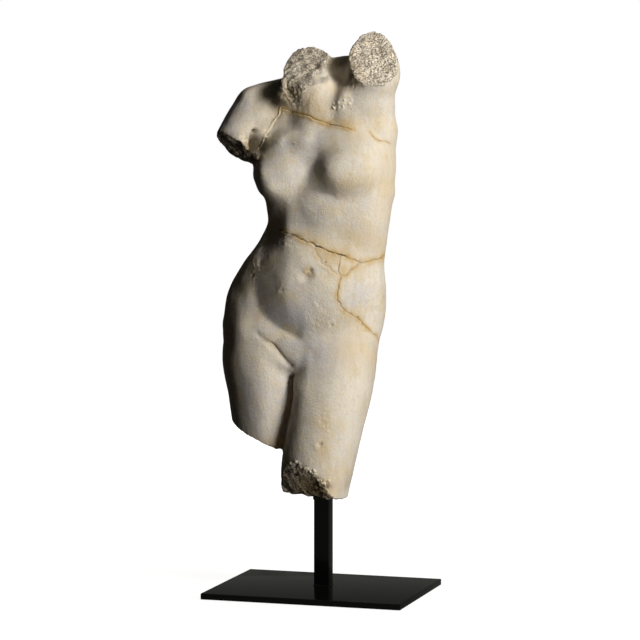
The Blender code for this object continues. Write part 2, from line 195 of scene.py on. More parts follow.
# Chips and pits: place, width, depth (negative where a crumb stands proud), earth, cream.
CHIPS = [
    ((-33, -21, 297), 2, 1.6, 0.6, 0), ((-38, -20, 294), 2, -0.6, 0, 0.9),
    ((2, -19, 283), 1.3, 0.6, 0.1, 0.1), ((-2, -19, 284), 1.3, -0.4, 0, 0.7),
    # The pit at (-6, -21, 316) is the navel: its earth paints the shade of its +X wall, and the pale
    # crumb at (-11, -21, 314) paints its lit -X wall.
    ((27, 12, 504), 4.5, 3, 0.8, 0), ((31, 8, 497), 4, 2, 0.6, 0), ((-6, -21, 316), 2.6, 1.4, 0.3, 0),
    ((-11, -21, 314), 2.6, -0.5, 0, 0.55), ((-26, -15, 340), 3, 0.8, 0.2, 0.3),
    ((9, -11, 265), 2, -0.5, 0, 0.6), ((12, -10, 263), 1.5, 0.7, 0.2, 0),
    ((-10, -11, 374), 2.2, 0.5, 0.1, 0.5), ((21, 10, 476), 1.6, -0.7, 0, 1),
    ((3, 1, 447), 1.5, -0.6, 0, 1), ((49, 18, 281), 1.6, -0.5, 0, 0.5),
    ((48, 20, 276), 1.8, 0.5, 0.2, 0.3), ((7, -29, 149), 2.2, 0.9, 0.35, 0.1),
    ((2, -29, 147), 2, -0.5, 0, 0.6), ((-62, -7, 323), 1.8, 1, 0.6, 0.2),
    ((-65, -7, 319), 1.6, -0.5, 0, 0.5), ((-70, -7, 310), 1.8, 0.8, 0.4, 0.2),
    ((22, -17, 411), 0.9, 0.5, 1, 0), ((8, -16, 324), 1, 0.7, 0.8, 0), ((46, 30, 246), 1.6, -0.4, 0, 0.8),
    ((-19, -28, 127), 2.6, 1.6, 0.9, 0), ((-12, -30, 124), 2.2, 1.4, 0.9, 0),
    ((-5, -30, 119), 2.8, 1.8, 1, 0), ((1, -29, 115), 2.4, 1.6, 0.9, 0), ((6, -28, 111), 2.6, 1.6, 1, 0),
    ((12, -25, 107), 2.2, 1.3, 0.9, 0),
]

# Fields of small crumbs: place, reach, width of a crumb, height, cream.
CRUMBS = [
    ((-32, 8, 487), (15, 14, 13), 1.5, 0.9, 0.9), ((-25, 6, 489), (6, 12, 9), 1.6, 1.5, 0.5),
    ((14, 12, 474), (9, 14, 5), 1.8, 1.7, 1), ((22, 11, 479), (7, 14, 6), 1.9, 1.6, 1),
    ((-30, -2, 440), (13, 14, 13), 1.5, 0.35, 0.45), ((-60, 6, 446), (4, 12, 5), 1.5, 0.7, 0.5),
    ((-34, -11, 344), (12, 12, 6), 1.8, 0.45, 0.5), ((10, -28, 172), (8, 12, 16), 1.7, 0.25, 0.5),
    ((-8, -12, 374), (8, 10, 6), 1.4, 0.3, 0.5), ((4, -12, 268), (18, 14, 12), 1.1, 0.12, 0.45),
    ((-65, -6, 316), (8, 14, 11), 1.4, 0.3, 0.3), ((-82, -14, 440), (14, 12, 8), 2, 0.5, 0.4),
    ((-8, -29, 121), (12, 10, 5), 1.7, 2.4, 1), ((8, -26, 111), (9, 10, 4), 1.7, 2, 0.8),
    ((-20, -28, 124), (9, 10, 9), 1.8, 1.2, 0.4),
]

# Soft patches of colour: place, reach, strength.
OCHRE_PATCHES = [
    ((20, 5, 456), (16, 20, 6), 0.8), ((33, 0, 446), (14, 18, 8), 0.35),
    ((-8, 6, 474), (22, 18, 14), 0.45), ((-34, 6, 484), (14, 12, 14), 0.5),
    ((28, 10, 500), (8, 12, 10), 0.5), ((9, 16, 489), (13, 16, 13), 0.4),
    ((-40, 9, 482), (9, 14, 7), 0.6), ((-29, 8, 486), (10, 14, 10), 0.7),
    ((64, 26, 400), (16, 40, 60), 0.3), ((42, 6, 346), (18, 26, 16), 0.4),
    ((12, -13, 328), (11, 14, 10), 0.65), ((24, -9, 316), (5, 12, 9), 0.8),
    ((30, -4, 238), (18, 22, 18), 0.4), ((46, 20, 226), (10, 26, 18), 0.4),
    ((10, -28, 172), (9, 14, 12), 0.45), ((9, -29, 143), (8, 14, 16), 0.5),
    ((-72, -9, 434), (6, 14, 10), 0.7), ((-46, 9, 470), (6, 12, 10), 0.6),
    ((-45, -8, 140), (18, 22, 14), 0.35), ((30, -20, 110), (20, 26, 16), 0.3),
    ((-28, -4, 150), (6, 16, 50), 0.45), ((-9, -20, 315), (5, 6, 5), 0.85),
    ((24, -16, 400), (18, 16, 12), 0.25), ((-26, 6, 470), (26, 12, 6), 0.35),
    ((22, -10, 335), (14, 14, 7), 0.55), ((-2, -14, 343), (14, 12, 5), 0.35),
    ((-4, -22, 104), (26, 20, 14), 0.9),
]
# Earth, and painted shade. The first three patches paint the shadow that the neck casts into the hollow
# beside it, over some dirt. The next two, (-66, -4, 437) and (-61, 2, 455), paint the armpit's shade over
# dirt. Those at (1, 28, 518), (6, 28, 516) and (25, 14, 505) paint the shade between the neck and the
# raised arm and at the arm break's left rim. The faint one at (-80, 4, 458) darkens the shoulder. The one
# at (-63, -6, 313) paints the shade on the hip's side over a stain. The rest are earth at the breaks, the
# waist crack and the arm stump.
EARTH_AND_SHADE_PATCHES = [
    ((-56, 13, 488), (14, 20, 11), 1.5), ((-48, 11, 480), (10, 16, 9), 1.4),
    ((-42, 9, 477), (6, 12, 5), 1), ((-66, -4, 437), (8, 14, 12), 1.4), ((-61, 2, 455), (10, 12, 9), 0.3),
    ((-90, -12, 444), (10, 12, 6), 0.6), ((1, 28, 518), (7, 9, 6), 0.45),
    ((6, 28, 516), (13, 16, 8), 0.95), ((25, 14, 505), (5, 10, 16), 0.5),
    ((9, -27, 108), (9, 8, 3.5), 0.75), ((-25, -13, 349), (9, 8, 2), 0.6),
    ((-2, -29, 115), (8, 8, 3), 0.6), ((-80, 4, 458), (14, 18, 18), 0.16),
    ((-100, -2, 440), (9, 16, 8), 0.6), ((-25, -25, 130), (5, 8, 5), 0.6),
    ((-63, -6, 313), (11, 14, 13), 0.45),
]
COOL_PATCHES = [
    ((-18, -4, 425), (26, 18, 30), 0.8), ((-8, -12, 382), (26, 18, 22), 0.45),
    ((-88, 8, 462), (24, 26, 24), 0.6), ((-30, -16, 266), (34, 22, 34), 0.75),
    ((-8, -14, 238), (30, 20, 20), 0.7), ((-32, -10, 170), (13, 26, 62), 1),
    ((-66, -12, 200), (26, 24, 60), 0.5), ((44, 10, 218), (16, 24, 18), 0.5),
    ((-14, -30, 120), (12, 20, 22), 0.6), ((66, 30, 440), (10, 26, 26), 0.4),
    ((34, -4, 292), (14, 20, 20), 0.45), ((-40, -10, 410), (18, 16, 22), 0.4),
    ((30, 30, 150), (30, 40, 70), 0.35), ((-30, 70, 400), (40, 30, 60), 0.4),
]

# The socket for the rod stays as it is packed: its middle, reach to each side and top.
SOCKET_CENTRE = (-1, 6)
SOCKET_REACH = 9.0
SOCKET_TOP = 143

# Edge lengths of the finished skin, and from which Y the back's begins. An edge is halved when
# it is OVERLONG times as long. Cracks up to FINE_CRACK in half width have the shortest edges,
# and crumbs up to LOW_CRUMB in height make do with a fracture's.
PLAIN_EDGE = 2.6
BACK_EDGE = 3.4
BACK_FROM = 52
SOCKET_EDGE = 30
FRACTURE_EDGE = 1.15
CHIP_EDGE = 0.9
CRACK_EDGE = 0.7
FINE_CRACK = 0.9
LOW_CRUMB = 0.55
OVERLONG = 1.35
REFINE_PASSES = 5
POLISH_ROUNDS = 5

# How far from its line a crack, the armpit's bead and a fold still shape the skin
CRACK_REACH = 14
RIDGE_REACH = 10
FOLD_REACH = 36
ROUTE_STEP = 0.4

# Over what share of its length a crack or a fold fades out at its ends
CRACK_FADE = 0.06
FOLD_FADE = (0.25, 0.12)

# How far out a crack's lip stands, in half widths, and how wide it is; the armpit's bead and
# the furrow on each side of it
LIP_OFFSET, LIP_WIDTH = 1.8, 1.6
BEAD_WIDTH, BEAD_HEIGHT = 0.55, 0.7
FURROW_OFFSET, FURROW_WIDTH, FURROW_DEPTH = 1.8, 0.9, 0.4

# A face belongs to a fracture when it lies near its plane and is turned its way. All skin within
# RIM_DEPTH of the plane has the fracture's edge length, and the chipped rim loses RIM_LOSS.
FACE_DEPTH, FACE_FADE = 3.6, 1.6
FACE_TURN = (0.35, 0.75)
RIM_DEPTH = 3.5
RIM_LOSS = 0.7

# Roughness, gap between octaves, octaves, offset and gain of the crags
CRAG_SHAPE = (0.9, 2.1, 3, 0.8, 1.6)

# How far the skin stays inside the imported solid's box
BOX_INSET = 0.05
TINY = 1e-12


def ramp(value, low, high):
    """Ease from 0 at low to 1 at high."""
    share = np.clip((value - low) / (high - low), 0, 1)
    return share * share * (3 - 2 * share)


def hump(value):
    """1 at 0, easing out to 0 on both sides."""
    return np.exp(-value ** 2)


def unit(vector):
    """A vector at length 1."""
    vector = np.asarray(vector, float)
    return vector / np.linalg.norm(vector)


def length(rows):
    """Length of each row."""
    return np.linalg.norm(rows, axis=1)


def units(rows):
    """Each row at length 1."""
    return rows / (length(rows) + TINY)[:, None]


def swell(points, wavelength, seed):
    """Smooth seeded noise, mostly between -1 and 1, from waves that run in random directions."""
    chance = np.random.default_rng(seed)
    waves = 24
    ways = chance.normal(size=(waves, 3))
    ways /= np.linalg.norm(ways, axis=1, keepdims=True)
    lengths = wavelength * chance.uniform(0.6, 1.7, waves)
    phases = chance.uniform(0, 2 * np.pi, waves)
    swing = np.sin(points @ (ways * (2 * np.pi / lengths)[:, None]).T + phases)
    return swing.sum(axis=1) / np.sqrt(2 * waves)


def crags(points, size):
    """Sharp ridges and hollows about as far apart as size, mostly between -1 and 1."""
    heights = [noise.ridged_multi_fractal(Vector(p) / size, *CRAG_SHAPE) for p in points]
    return np.array(heights) - 0.9


def pebbles(points, size):
    """Rounded grains, 1 at the middle of each and 0 between them."""
    near = [noise.voronoi(Vector(p) / size, distance_metric="DISTANCE", exponent=2.5)[0][0]
            for p in points]
    return 1 - np.clip(np.array(near) * 1.5, 0, 1) ** 2


def bell(points, place, reach):
    """1 at a place, easing out over its reach along X, Y and Z."""
    return np.exp(-(((points - place) / reach) ** 2).sum(axis=1))


def soft_patches(points, patches):
    """The strongest of some soft patches at each point."""
    total = np.zeros(len(points))
    for place, reach, strength in patches:
        far = length((points - place) / reach)
        total = np.maximum(total, strength * np.exp(-far ** 2 * 1.1))
    return total


def deselect():
    """Deselect everything, because an operator acts on all that is selected."""
    for item in list(bpy.context.selected_objects):
        item.select_set(False)


def activate(piece):
    """Select one piece alone and make it active."""
    deselect()
    bpy.context.view_layer.objects.active = piece
    piece.select_set(True)


def add_object(name, data):
    """Add a mesh, light or camera to the scene."""
    item = bpy.data.objects.new(name, data)
    bpy.context.scene.collection.objects.link(item)
    return item


def vertex_points(mesh):
    """The mesh's vertices, in millimetres."""
    points = np.empty(len(mesh.vertices) * 3, np.float32)
    mesh.vertices.foreach_get("co", points)
    return points.reshape(-1, 3).astype(float) / MM


def triangles(mesh):
    """The three vertices of each face."""
    corners = np.empty(len(mesh.polygons) * 3, np.int32)
    mesh.polygons.foreach_get("vertices", corners)
    return corners.reshape(-1, 3)


def in_socket(points):
    """Whether each point lies in the blind hole that the rod goes up into."""
    across = np.abs(points[:, :2] - SOCKET_CENTRE).max(axis=1)
    return (across < SOCKET_REACH) & (points[:, 2] < SOCKET_TOP)


class Route:
    """A line pressed onto the skin, with the distance from it to any point of the skin."""

    def __init__(self, tree, stops, wander=0.0, seed=0):
        stops = np.array(stops, float)
        line = [stops[:1]]
        for start, end in zip(stops, stops[1:]):
            steps = max(2, int(np.linalg.norm(end - start) / ROUTE_STEP))
            line.append(start + (end - start) * np.linspace(0, 1, steps + 1)[1:, None])
        line = np.concatenate(line)
        jitter = np.stack([swell(line, 7, seed + k) + 0.5 * swell(line, 2.5, seed + 9 + k)
                           for k in range(3)], axis=1)
        line = line + wander * jitter
        self.line = np.array([tree.find_nearest(Vector(p))[0] for p in line])
        self.low = self.line.min(axis=0)
        self.high = self.line.max(axis=0)
        self.kd = KDTree(len(self.line))
        for i, p in enumerate(self.line):
            self.kd.insert(p, i)
        self.kd.balance()

    def measure(self, points, reach):
        """Distance to the line (reach where farther), share along it, and offset from it."""
        distance = np.full(len(points), float(reach))
        along = np.zeros(len(points))
        offset = np.zeros((len(points), 3))
        close = np.all((points > self.low - reach) & (points < self.high + reach), axis=1)
        for i in np.flatnonzero(close):
            spot, index, gap = self.kd.find(points[i])
            if gap < reach:
                distance[i] = gap
                along[i] = index / len(self.line)
                offset[i] = points[i] - spot
        return distance, along, offset


def lay_routes(points, corners):
    """Press every crack and the armpit's bead onto the skin."""
    tree = BVHTree.FromPolygons(points.tolist(), corners.tolist())
    routes = [(Route(tree, crack.stops, crack.wander, seed=100 + 31 * k), crack.half_width)
              for k, crack in enumerate(CRACKS)]
    return routes, Route(tree, ARMPIT_RIDGE, 0.3, seed=900)


def beside(points, fracture):
    """Offset of each point from a fracture's middle, and its height over the broken plane."""
    offset = points - np.asarray(fracture.point, float)
    return offset, offset @ unit(fracture.normal)


def fracture_share(points, normals, fracture):
    """1 on one broken face, fading out over its rim."""
    offset, height = beside(points, fracture)
    return (ramp(FACE_DEPTH - np.abs(height), 0, FACE_FADE)
            * ramp(normals @ unit(fracture.normal), *FACE_TURN)
            * ramp(fracture.reach - length(offset), 0, 3))


def wanted_edge(points, routes):
    """How long an edge of the skin may be at each point."""
    wanted = np.where(points[:, 1] > BACK_FROM, BACK_EDGE, PLAIN_EDGE)
    for fracture in FRACTURES:
        offset, height = beside(points, fracture)
        near = (np.abs(height) < RIM_DEPTH) & (length(offset) < fracture.reach)
        wanted[near] = np.minimum(wanted[near], FRACTURE_EDGE)
    for place, width, _, _, _ in CHIPS:
        near = length(points - place) < 1.6 * width + 1.5
        wanted[near] = np.minimum(wanted[near], CHIP_EDGE)
    for place, reach, _, height, _ in CRUMBS:
        near = length((points - place) / reach) < 1.1
        edge = CHIP_EDGE if height > LOW_CRUMB else FRACTURE_EDGE
        wanted[near] = np.minimum(wanted[near], edge)
    for route, half_width in routes:
        near = route.measure(points, 8)[0] < 2.2 * half_width + 1.2
        edge = CRACK_EDGE * max(1, half_width / FINE_CRACK)
        wanted[near] = np.minimum(wanted[near], edge)
    return np.where(in_socket(points), SOCKET_EDGE, wanted)


def gather(index, values, count):
    """Sum rows of values by index."""
    return np.stack([np.bincount(index, column, count) for column in values.T], axis=1)


def face_slopes(points, corners):
    """Normal of each triangle, as long as twice its area."""
    a, b, c = points[corners].transpose(1, 0, 2)
    return np.cross(b - a, c - a)


def vertex_normals(slopes, corners, count):
    """Mean direction of the triangles round each vertex."""
    return units(gather(corners.ravel(), np.repeat(slopes, 3, axis=0), count))


def side_ends(corners):
    """First and last vertex of every side of every triangle."""
    return corners.T.ravel(), np.roll(corners, -1, axis=1).T.ravel()


def patches_of(points, corners):
    """0 for faces of the worked skin, and one number for each broken face."""
    slopes = units(face_slopes(points, corners))
    centres = points[corners].mean(axis=1)
    shares = np.stack([fracture_share(centres, slopes, fracture) for fracture in FRACTURES])
    return np.where(shares.max(axis=0) > 0.45, shares.argmax(axis=0) + 1, 0)


def divide(points, corners, patch, routes):
    """Halve every edge that is too long, each new point rounded out from the skin's slopes."""
    sides = np.stack([corners, np.roll(corners, -1, axis=1)], axis=2)
    key = np.sort(sides.reshape(-1, 2), axis=1) @ (len(points), 1)
    key, index = np.unique(key, return_inverse=True)
    index = index.reshape(-1, 3)
    starts, ends = key // len(points), key % len(points)
    middles = (points[starts] + points[ends]) / 2
    spans = points[ends] - points[starts]
    split = length(spans) > OVERLONG * wanted_edge(middles, routes)
    if not split.any():
        return points, corners, patch, False
    slopes = face_slopes(points, corners) * (patch == 0)[:, None]
    normals = vertex_normals(slopes, corners, len(points))
    on_skin = np.zeros(len(key), bool)
    on_skin[index[patch == 0].ravel()] = True
    first, last = normals[starts], normals[ends]
    bulge = ((spans * first).sum(axis=1)[:, None] * first
             - (spans * last).sum(axis=1)[:, None] * last) / 8
    middles -= bulge * on_skin[:, None]
    number = np.where(split, len(points) + np.cumsum(split) - 1, -1)
    points = np.concatenate([points, middles[split]])

    # The code of a triangle says which of its sides are halved: 1, 2 and 4 for its three sides.
    halves = number[index]
    code = (halves >= 0) @ (1, 2, 4)
    faces, owners = [corners[code == 0]], [patch[code == 0]]
    for shift, single, double in ((0, 1, 3), (1, 2, 6), (2, 4, 5)):
        pick = code == single
        a, b, c = np.roll(corners[pick], -shift, axis=1).T
        m = np.roll(halves[pick], -shift, axis=1)[:, 0]
        faces += [np.stack([a, m, c], 1), np.stack([m, b, c], 1)]
        owners += [patch[pick]] * 2
        pick = code == double
        a, b, c = np.roll(corners[pick], -shift, axis=1).T
        m, n = np.roll(halves[pick], -shift, axis=1)[:, :2].T
        slant = (length(points[a] - points[n]) < length(points[m] - points[c]))[:, None]
        faces += [np.stack([m, b, n], 1),
                  np.where(slant, np.stack([a, m, n], 1), np.stack([a, m, c], 1)),
                  np.where(slant, np.stack([a, n, c], 1), np.stack([m, n, c], 1))]
        owners += [patch[pick]] * 3
    pick = code == 7
    (a, b, c), (m, n, o) = corners[pick].T, halves[pick].T
    faces += [np.stack(ring, 1) for ring in ((a, m, o), (m, b, n), (o, n, c), (m, n, o))]
    owners += [patch[pick]] * 4
    return points, np.concatenate(faces), np.concatenate(owners), True


def polish(points, corners, rounds):
    """Even out the skin without shrinking it, by steps in and out."""
    starts, ends = side_ends(corners)
    count = np.bincount(starts, minlength=len(points))[:, None]
    free = ~in_socket(points)[:, None]
    for step in [0.5, -0.53] * rounds:
        mean = gather(starts, points[ends], len(points)) / count
        points = points + step * (mean - points) * free
    return points


def spread(values, corners, rounds):
    """Let a number per vertex bleed into its neighbours."""
    starts, ends = side_ends(corners)
    count = np.bincount(starts, minlength=len(values))
    for _ in range(rounds):
        values = (values + np.bincount(starts, values[ends], len(values)) / count) / 2
    return values


def fill_forms(points, corners):
    """Shift the flesh where it is fuller or flatter than the solid, and sink the folds."""
    moved = points.copy()
    for place, reach, shift in FORMS:
        way = shift if isinstance(shift, tuple) else (0, shift, 0)
        moved += bell(points, place, reach)[:, None] * way
    tree = BVHTree.FromPolygons(points.tolist(), corners.tolist())
    for stops, depth, left, right in FORM_FOLDS:
        distance, along, offset = Route(tree, stops).measure(points, FOLD_REACH)
        width = left + (right - left) * ramp(offset[:, 0], -1.5, 1.5)
        soft = np.hypot(distance, 1) - 1
        fade = ramp(along, 0, FOLD_FADE[0]) * ramp(1 - along, 0, FOLD_FADE[1])
        edge = ramp(FOLD_REACH - distance, 0, 10)
        moved[:, 1] += depth * np.exp(-soft / width) * fade * edge
    return np.where(in_socket(points)[:, None], points, moved)


def mark(marks, name, values, where=slice(None)):
    """Keep the stronger of an earlier mark and a new one."""
    marks[name][where] = np.maximum(marks[name][where], values)


def carve_cracks(points, settings, routes, marks):
    """How far the skin moves at the cracks, which leave earth and ochre in marks; the earth of the groin
    crease is painted shade, and that of the armpit groove painted shade over dirt.
    """
    lift = np.zeros(len(points))
    for (route, half_width), crack in zip(routes, CRACKS):
        distance, along, offset = route.measure(points, CRACK_REACH)
        fade = ramp(along, 0, CRACK_FADE) * ramp(1 - along, 0, CRACK_FADE)
        uneven = 1 + 0.45 * swell(points, 6, seed=21)
        groove = hump(distance / half_width)
        lift -= settings.crack_depth * crack.depth * groove * fade * np.clip(uneven, 0.3, 1.6)
        below = ramp(-offset[:, 2], 0, 1.5)
        lip = hump((distance - LIP_OFFSET * half_width) / LIP_WIDTH)
        lift += crack.lip * below * lip * fade
        mark(marks, "soil", crack.soil * groove * np.clip(uneven, 0.4, 1.3) * (0.3 + 0.7 * fade))
        halo = crack.ochre * hump(distance / crack.halo) * (1 + 0.6 * swell(points, 9, seed=22))
        mark(marks, "ochre", halo * (distance < CRACK_REACH))
    return lift


def raise_ridge(points, ridge, marks):
    """The thin bead of lime that runs down to the right armpit, with darker furrows beside it."""
    distance, _, _ = ridge.measure(points, RIDGE_REACH)
    bead = hump(distance / BEAD_WIDTH) * np.clip(1 + 0.9 * swell(points, 5, seed=31), 0.1, 2)
    mark(marks, "cream", 0.45 * bead)
    mark(marks, "ochre", 0.3 * hump(distance / 3) * (distance < RIDGE_REACH))
    furrow = hump((distance - FURROW_OFFSET) / FURROW_WIDTH)
    furrow *= np.clip(0.8 + 0.8 * swell(points, 4, seed=32), 0, 2)
    mark(marks, "soil", 0.3 * furrow)
    return BEAD_HEIGHT * bead - FURROW_DEPTH * furrow


def chip_skin(points, marks):
    """Single chips and pits, and fields of small crumbs. At the navel the pit's earth is painted shade
    and the pale crumb beside it a painted highlight.
    """
    lift = np.zeros(len(points))
    for place, width, depth, dirt, pale in CHIPS:
        near = np.flatnonzero(length(points - place) < 4 * width)
        ragged = 1 + 0.3 * swell(points[near], 2.5, seed=41)
        far = length(points[near] - place) * ragged
        dip = hump(far / width)
        lift[near] -= depth * dip
        mark(marks, "soil", dirt * hump(far / (0.8 * width)), near)
        mark(marks, "cream", pale * dip, near)
    for k, (place, reach, size, height, pale) in enumerate(CRUMBS):
        far = length((points - place) / reach)
        near = np.flatnonzero(far < 1.15)
        bumps = np.clip(swell(points[near], size * 2.2, seed=50 + k), 0, 1.4) ** 1.3
        share = ramp(1.15 - far[near], 0, 0.5)
        lift[near] += height * bumps * share
        mark(marks, "cream", pale * np.clip(2.2 * bumps, 0, 1) * share, near)
    return lift


def neck_scar(points):
    """1 on the broken faces of the neck, 0 where worked skin is left beside them."""
    height = points[:, 2]
    left = np.interp(height, NECK_SCAR[:, 0], NECK_SCAR[:, 1])
    right = np.interp(height, NECK_SCAR[:, 0], NECK_SCAR[:, 2])
    wander = 1.1 * swell(points, 9, seed=81) + 0.7 * swell(points, 3.5, seed=82)
    across = points[:, 0] + wander
    return (ramp(across - left, -1.2, 1.2) * ramp(right - across, -1.2, 1.2)
            * ramp(height + wander, *NECK_SCAR_FOOT))


def round_neck(points):
    """Fill the flat under the neck's upper break out to the neck's round."""
    foot, top = (np.array(end, float) for end in NECK_AXIS)
    way = unit(top - foot)
    offset = points - foot
    along = offset @ way
    across = offset - along[:, None] * way
    out = length(across)
    short = np.clip(NECK_RADIUS - out, 0, NECK_FILL)
    front = ramp(-across[:, 1], 2, 8) * ramp(along, 2, 8)
    front *= ramp(NECK_FILL_TOP - points[:, 2], 0, NECK_FILL_FADE)
    return across / out[:, None] * (short * front)[:, None]


def break_faces(points, corners, patch, settings, marks):
    """Crags, grains and earth on the broken faces, and the wear that sets them back."""
    push = np.zeros_like(points)
    owners = corners.ravel()
    count = np.bincount(owners, minlength=len(points))
    whole = np.zeros(len(points))
    for k, fracture in enumerate(FRACTURES):
        way = unit(fracture.normal)
        share = np.bincount(owners, np.repeat(patch == k + 1, 3), len(points)) / count
        if k in NECK_FACES:
            share = share * neck_scar(points)
        share = spread(share, corners, rounds=2)
        near = np.flatnonzero(share > 0.02)
        if k in NECK_FACES:
            marks["soil"][near] *= 1 - 0.9 * share[near]
        spots = points[near]
        coarse = 0.3 * swell(spots, 13, seed=60 + k) + 0.15 * crags(spots + 7 * k, 4.0)
        fine = 0.35 * crags(spots, 1.7) + 0.55 * pebbles(spots, 2.0)
        crest = settings.fracture_height * fracture.crags * (coarse + fine - 0.2) * share[near]
        push[near] += way * crest[:, None]
        hollow = np.clip(0.6 - 0.5 * (coarse + fine), 0, 1)
        mark(marks, "soil", share[near] * fracture.earth * (0.55 + 0.6 * hollow), near)
        whole = np.maximum(whole, share)
        offset, height = beside(points, fracture)
        close = length(offset) < fracture.reach
        under = 1 - np.clip(-height, 0, WEAR_DEPTH) / WEAR_DEPTH
        push -= way * (fracture.wear * close * under ** 2)[:, None]
    marks["broken"] = whole
    return push


def carve_details(points, corners, patch, settings, routes, ridge):
    """Move the skin for cracks, chips, crumbs and fractures, and note where each one lies."""
    normals = vertex_normals(face_slopes(points, corners), corners, len(points))
    # The earth mark holds dirt, and also the painted shade of the earth patches, the groin crease, the
    # armpit groove and the navel.
    marks = {"ochre": soft_patches(points, OCHRE_PATCHES),
             "cool": soft_patches(points, COOL_PATCHES),
             "soil": soft_patches(points, EARTH_AND_SHADE_PATCHES), "cream": np.zeros(len(points))}
    lift = 0.16 * swell(points, 16, seed=3) + 0.06 * swell(points, 5, seed=4)
    lift += carve_cracks(points, settings, routes, marks)
    lift += raise_ridge(points, ridge, marks)
    lift += chip_skin(points, marks)
    for place, reach, height in SWELLINGS:
        lift += height * bell(points, place, reach)
    push = break_faces(points, corners, patch, settings, marks)
    push += round_neck(points)
    rim = 4 * marks["broken"] * (1 - marks["broken"])
    lift -= RIM_LOSS * rim * np.clip(0.3 + swell(points, 5, seed=71), 0, 2)
    lift *= 1 - 0.5 * marks["broken"]
    free = ~in_socket(points)[:, None]
    points = points + normals * lift[:, None] * free + push
    low, high = (np.array(corner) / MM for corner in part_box("torso"))
    return np.clip(points, low + BOX_INSET, high - BOX_INSET), marks


def note(mesh, name, values):
    """Keep one number per vertex for the material."""
    layer = mesh.attributes.new(name, "FLOAT", "POINT")
    layer.data.foreach_set("value", np.clip(values, 0, 1).astype(np.float32))


# ---------- Materials ----------

class Surface:
    """A node material, written as sums of its nodes' outputs."""

    def __init__(self, name):
        self.material = bpy.data.materials.new(name)
        self.material.use_nodes = True
        self.tree = self.material.node_tree
        self.shader = self.tree.nodes["Principled BSDF"]
        self.spot = self.add("ShaderNodeTexCoord").outputs["Object"]

    def feed(self, socket, value):
        """Link another node's output to a socket, or set it to a number or a colour."""
        if isinstance(value, bpy.types.NodeSocket):
            self.tree.links.new(value, socket)
        elif socket.type == "RGBA":
            socket.default_value = (*value, 1)
        else:
            socket.default_value = value

    def add(self, kind, inputs=(), **settings):
        """A new node with its settings, its inputs fed."""
        node = self.tree.nodes.new(kind)
        for name, value in settings.items():
            setattr(node, name, value)
        for name, value in dict(inputs).items():
            self.feed(node.inputs[name], value)
        return node

    def finish(self, **inputs):
        """Feed the shader's own inputs, named with _ for a space."""
        for name, value in inputs.items():
            self.feed(self.shader.inputs[name.replace("_", " ")], value)

    def noise(self, scale, detail=3.0, roughness=0.55, stretch=None):
        """Cloudy noise, with scale clouds to the metre."""
        spot = self.spot
        if stretch:
            mapping = self.add("ShaderNodeMapping", {"Scale": stretch, "Vector": spot})
            spot = mapping.outputs["Vector"]
        node = self.add("ShaderNodeTexNoise", {"Vector": spot, "Scale": scale,
                                               "Detail": detail, "Roughness": roughness})
        return node.outputs["Fac"]

    def cells(self, scale):
        """Distance from the middles of cells, with scale cells to the metre."""
        node = self.add("ShaderNodeTexVoronoi", {"Vector": self.spot, "Scale": scale})
        return node.outputs["Distance"]

    def noted(self, name):
        """A number that the mesh keeps for each vertex."""
        return self.add("ShaderNodeAttribute", attribute_name=name).outputs["Fac"]

    def math(self, kind, a, b, clamp=False):
        """A sum, difference or product."""
        node = self.add("ShaderNodeMath", {0: a, 1: b}, operation=kind, use_clamp=clamp)
        return node.outputs["Value"]

    def span(self, value, low, high, to_low=0.0, to_high=1.0):
        """A value between low and high, moved to between to_low and to_high."""
        node = self.add("ShaderNodeMapRange", {"Value": value, "From Min": low, "From Max": high,
                                               "To Min": to_low, "To Max": to_high})
        return node.outputs["Result"]

    def blend(self, share, first, second, kind="MIX"):
        """Blend the second colour over the first by a share."""
        node = self.add("ShaderNodeMix", data_type="RGBA", blend_type=kind)
        for index, value in ((0, share), (6, first), (7, second)):
            self.feed(node.inputs[index], value)
        return node.outputs[2]

    def bump(self, height, distance):
        """Fine relief, as high as distance in metres."""
        node = self.add("ShaderNodeBump", {"Distance": distance, "Height": height})
        self.finish(Normal=node.outputs["Normal"])


